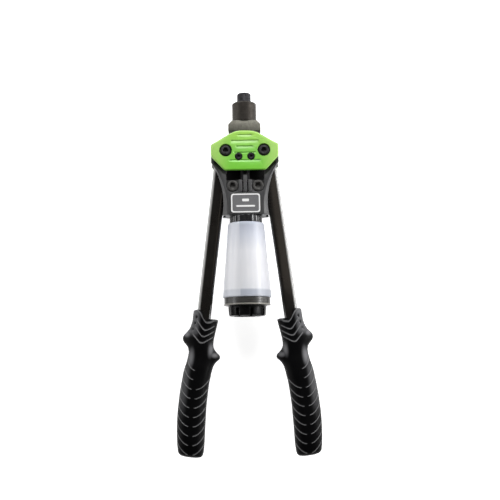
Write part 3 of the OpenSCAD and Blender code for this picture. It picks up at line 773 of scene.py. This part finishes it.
def build_grip(name, side):
    """A moulded grip: its section along a curved axis, with finger stops, raised lines and dimples."""
    rows, columns = 400, 168
    angles = np.linspace(0, 2 * math.pi, columns, endpoint=False)[None, :]
    nominal = np.linspace(GRIP_START, GRIP_END, rows)[:, None]
    cosine, sine = np.cos(angles), np.sin(angles)
    outward, inward = np.clip(cosine, 0, 1), np.clip(-cosine, 0, 1)
    round_x = np.sign(cosine) * np.abs(cosine) ** GRIP_SQUARENESS
    round_z = np.sign(sine) * np.abs(sine) ** GRIP_SQUARENESS
    centre, half = grip_section(nominal + 0 * angles)
    down = nominal + (GRIP_RIM(centre + half * round_x) - GRIP_START) * ramp(nominal, 243, 193)
    centre, half = grip_section(down)
    x = centre + half * round_x
    stops = OUTER_STOP(down) * outward**STOP_SHARPNESS - INNER_STOP(down) * inward**STOP_SHARPNESS
    swell = 0.45 * (ridge(down - 224, 16) * outward + ridge(down - 241, 16) * inward)
    skin = np.stack([x + stops, -down, (GRIP_DEPTH(down) + swell) * round_z], axis=-1)
    fade_end = ramp(down, 357.5, 354)
    relief, lines = grip_relief(x, down, centre, half)
    skin = skin + normals_of(skin) * (relief * fade_end)[..., None]

    # The rim rolls over to the tube's hole, a squared oval, and goes down inside it
    hole_x, hole_z, middle = 8.7, 6.6, 3.9
    reach = 1 / (np.abs(cosine[0] / hole_x) ** 8 + np.abs(sine[0] / hole_z) ** 8) ** (1 / 8)
    rim = skin[0]
    edge = np.stack([middle + reach * cosine[0], rim[:, 1] + 0.6, reach * sine[0]], axis=-1)
    rolls = [edge - (0, 8.6, 0), edge, edge * 0.45 + rim * 0.55 + (0, 0.35, 0),
             edge * 0.2 + rim * 0.8 + (0, 0.5, 0)]
    bm = bmesh.new()
    painted_highlight = bm.verts.layers.float.new("painted_highlight")
    painted_sheen = bm.verts.layers.float.new("painted_sheen")
    verts = grid(np.concatenate([rolls, skin]), bm)
    # Painted highlights on the raised lines and dimple rims
    line_highlight = ramp(lines * fade_end, 0.35, 0.95) * (0.35 + 0.65 * np.abs(sine))
    # Painted sheen on the collar, necks and finger stops
    sheen_share = grip_painted_sheen(x + stops, down, np.abs(cosine))
    for row, shares, greys in zip(verts[len(rolls):], line_highlight, sheen_share):
        for vert, share, grey in zip(row, shares, greys):
            vert[painted_highlight] = share
            vert[painted_sheen] = grey
    end = bm.verts.new((np.mean(skin[-1, :, 0]), -GRIP_END - 0.15, 0))
    for k in range(columns):
        bm.faces.new((verts[-1][k], verts[-1][(k + 1) % columns], end))
    add_piece("moulded_grip_" + name, bm, LOOKS["grip_rubber"], "lever_" + name,
              ["grip_" + name], lever_axes(side), crease=75)


for name, side in SIDES.items():
    build_grip(name, side)


# ---------- Arms, nose and collector ----------

def build_arm(name, side):
    """A rolled steel tube with rounded corners, with a painted highlight along its outer front corner."""
    width, depth, corner, wall = 16.8, 13.0, 4.2, 1.8
    start, end, centre = 13.9, 330.0, 4.15
    outer = rounded_box(width, depth, corner, 14)
    inner = rounded_box(width - 2 * wall, depth - 2 * wall, corner - wall, 14)
    turns = ((outer, start + 0.5), (outer, end), (inner, end), (inner, start), (outer, start),
             (outer, start + 0.5))
    rows = [[(centre + x, -down, z) for x, z in outline] for outline, down in turns]
    bm = bmesh.new()
    painted_highlight = bm.verts.layers.float.new("painted_highlight")
    grid(np.array(rows), bm)
    # Painted highlight on the outer front corner, where it catches the light
    for vert in bm.verts:
        outward = vert.co.x - centre
        vert[painted_highlight] = ramp(outward, width / 2 - 3.8, width / 2 - 2.6) * ramp(vert.co.z, 1.8, 3.6)
    bmesh.ops.remove_doubles(bm, verts=bm.verts, dist=1e-4)
    add_piece("rolled_arm_" + name, bm, LOOKS["arm_black"], "lever_" + name,
              ["arm_tube_" + name], lever_axes(side))


for name, side in SIDES.items():
    build_arm(name, side)


def build_neck():
    """The collector's neck ring, with finger flutes around it."""
    flutes = 12

    def fluted(radius, y, angle):
        if radius < 17:
            return radius
        wave = math.cos(flutes * angle) * 0.5 + 0.5
        return radius - 0.7 * wave**4 * ramp(y, -75.9, -77.2) * ramp(y, -84.6, -83.4)

    grip = [(19.7, y) for y in np.linspace(-77.3, -83, 9)]
    outer = [(19.0, -76.2), (19.5, -76.35), (19.7, -76.8)] + grip
    outer += [(19.7, -83.5), (19.5, -83.85), (19.0, -84.0)]
    flange = [(5.5, -70), (13, -70), (13, -71), (14.5, -71), (14.5, -73.5), (13, -73.5), (13, -76.2)]
    thread = [(15.5, -84.0), (15.5, -95), (12, -95), (12, -76.2), (5.5, -76.2)]
    profile = flange + outer + thread
    add_piece("fluted_neck_ring", lathe(profile, 320, fluted), LOOKS["black_plastic"], "head",
              ["neck_ring"])


def build_nosepiece():
    """The screwed-in nosepiece, whose end is cut with fine grip lines."""
    lines = 44
    low, high = span("nosepiece")
    top, radius, bore, shank = high.y, high.x, 2.1, 5.0
    seat = span("nose_sleeve")[1].y

    def lined(r, y, angle):
        if r < radius - 0.7 or not top - 10.2 < y < top - 2:
            return r
        return r - 0.28 * abs(math.cos(lines * angle / 2)) ** 2

    side = [(radius, y) for y in (seat + 0.5, seat + 1.2, seat + 1.8, seat + 2.1, top - 2.4, top - 2.1)]
    profile = [(bore, low.y), (shank, low.y), (shank, seat), (radius - 0.4, seat)] + side
    profile += [(radius - 0.15, top - 1.2), (radius - 0.6, top - 0.55), (radius - 1.3, top - 0.15),
                (radius - 2.1, top), (bore + 0.7, top), (bore + 0.2, top - 0.25), (bore, top - 0.8)]
    add_piece("lined_nosepiece", lathe(profile, 352, lined), LOOKS["black_oxide"], "nose_barrel",
              ["nosepiece"])


def build_bottle():
    """The blown collector bottle, with a soft shoulder and a rolled mouth."""
    top, bottom, wall = BOTTLE_TOP, BOTTLE_MOUTH, 1.6
    top_r, mouth_r, thread_r = 21.35, BOTTLE_MOUTH_R, 15.65

    def side(y):
        return top_r + (mouth_r - top_r) * (top - y) / (top - bottom)

    shoulder = [(top_r - 2.6 + 2.6 * math.sin(a), top - 2.2 * (1 - math.cos(a)))
                for a in np.linspace(0, math.pi / 2, 8)]
    shoulder = [(min(r, side(y) - 0.02), y) for r, y in shoulder]
    outer = [(side(y), y) for y in np.linspace(top - 3, bottom + 2.6, 40)]
    mouth = [(mouth_r - 0.05, bottom + 1.6), (mouth_r, bottom + 0.9), (mouth_r - 0.35, bottom + 0.25),
             (mouth_r - 0.8, bottom), (mouth_r - wall, bottom)]
    inner = [(side(y) - wall, y) for y in np.linspace(bottom + 1, top - 3, 30)]
    profile = [(thread_r, top)] + shoulder + outer + mouth + inner
    profile += [(top_r - wall - 1, top - wall), (thread_r + 1.65, top - wall), (thread_r + 1.65, -95),
                (thread_r, -95)]
    add_piece("blown_bottle", lathe(profile, 160), LOOKS["frosted_plastic"], "collector_bottle",
              ["collector_bottle"])


def build_closure_ring():
    """The ring that closes the bottle's mouth, with shallow bands and a thin lip."""
    low, high = span("closure_ring")
    seat, bore, lip_r = BOTTLE_MOUTH - 0.1, 23.5, high.x
    radius = lip_r - 0.35
    bands = []
    for y in np.linspace(seat - 2.2, low.y + 3.2, 3):
        bands += [(radius, y + 0.45), (radius - 0.38, y + 0.2), (radius - 0.38, y - 0.2), (radius, y - 0.45)]
    profile = [(bore, high.y), (high.x - 3.5, high.y), (BOTTLE_MOUTH_R - 1.7, BOTTLE_MOUTH),
               (BOTTLE_MOUTH_R - 1.7, seat), (radius - 0.8, seat), (radius - 0.2, seat - 0.3),
               (radius, seat - 0.9)] + bands
    profile += [(radius, low.y + 2.1), (radius + 0.15, low.y + 1.8), (lip_r - 0.25, low.y + 1.6),
                (lip_r, low.y + 1.3), (lip_r, low.y + 0.5), (lip_r - 0.2, low.y + 0.12), (lip_r - 0.7, low.y),
                (bore + 0.5, low.y), (bore, low.y + 0.5)]
    add_piece("banded_closure_ring", lathe(profile, 160), ring_look("ring_black", low.y + 1.2),
              "collector_bottle", ["closure_ring"])


build_neck()
build_nosepiece()
build_bottle()
build_closure_ring()


# ---------- Camera, light and floor ----------

def set_camera():
    """Nearly overhead, a little towards the handles, as an upright tool is seen by a standing eye."""
    target = ORIGIN + Vector((4.2, -116, 0)) * MM
    distance_m = 1.2
    lens_mm = 73.152
    lean = math.radians(6.5)
    roll = math.radians(-1.0)
    back = Vector((0, -math.sin(lean), math.cos(lean)))
    up = Vector((0, math.cos(lean), math.sin(lean)))
    right = Vector((1, 0, 0))
    turned_right = right * math.cos(roll) + up * math.sin(roll)
    turned_up = up * math.cos(roll) - right * math.sin(roll)
    data = bpy.data.cameras.new("camera")
    data.sensor_width = 36
    data.lens = lens_mm
    camera = bpy.data.objects.new("camera", data)
    axes = Matrix((turned_right, turned_up, back)).transposed().to_4x4()
    camera.matrix_world = Matrix.Translation(target + back * distance_m) @ axes
    scene.collection.objects.link(camera)
    scene.camera = camera


def add_light(name, place, aim, size, power, colour=(1, 1, 1)):
    """A rectangular lamp at a place, turned to face its aim."""
    data = bpy.data.lights.new(name, "AREA")
    data.color = colour
    data.shape = "RECTANGLE"
    data.size, data.size_y = size
    data.energy = power
    light = bpy.data.objects.new(name, data)
    light.location = place
    light.rotation_euler = (Vector(aim) - Vector(place)).to_track_quat("-Z", "Y").to_euler()
    scene.collection.objects.link(light)


def set_studio():
    """Bright at the horizon, but for the handles' end, and dim overhead, so gloss shows mostly on edges."""
    world = bpy.data.worlds.new("studio")
    scene.world = world
    world.use_nodes = True
    axes = axes_of(world, "Generated")
    height = mapped(world, axes["Z"], 0.2, 0.8, 0.75, 0.06, interpolation_type="SMOOTHSTEP")
    forward = mapped(world, axes["Y"], -0.95, -0.1, 0.12, 1, interpolation_type="SMOOTHSTEP")
    background = world.node_tree.nodes["Background"]
    background.inputs["Color"].default_value = (1, 1, 1, 1)
    world.node_tree.links.new(maths(world, "MULTIPLY", height, forward), background.inputs["Strength"])
    for name, place, size, power in STUDIO_LIGHTS:
        add_light(name, place, (0, 0, 0.03), size, power)
    # A dim, warm card overhead, seen only in the gloss of the right arm
    add_light("warm_card", (0.17, 0.33, 1.5), (0.17, 0.331, 0), (0.26, 0.5), 0.17, (1, 0.86, 0.72))
    floor_look = new_look("floor", (0.93, 0.93, 0.93), 0.9, Emission_Color=(1, 1, 1, 1),
                          Emission_Strength=0.85)
    bm = bmesh.new()
    bmesh.ops.create_grid(bm, x_segments=1, y_segments=1, size=6)
    mesh = bpy.data.meshes.new("floor")
    bm.to_mesh(mesh)
    bm.free()
    mesh.materials.append(floor_look)
    floor = bpy.data.objects.new("floor", mesh)
    scene.collection.objects.link(floor)
    scene.view_settings.view_transform = "Standard"


# Name, place in metres, size in metres and power in watts
STUDIO_LIGHTS = [
    ("left_strip", (-1.1, 0.25, 0.5), (1.0, 0.35), 4.8),
    ("right_strip", (1.1, 0.25, 0.5), (1.0, 0.35), 13),
    ("nose_lamp", (0.0, 1.0, 0.8), (0.9, 0.5), 8),
]

set_camera()
set_studio()
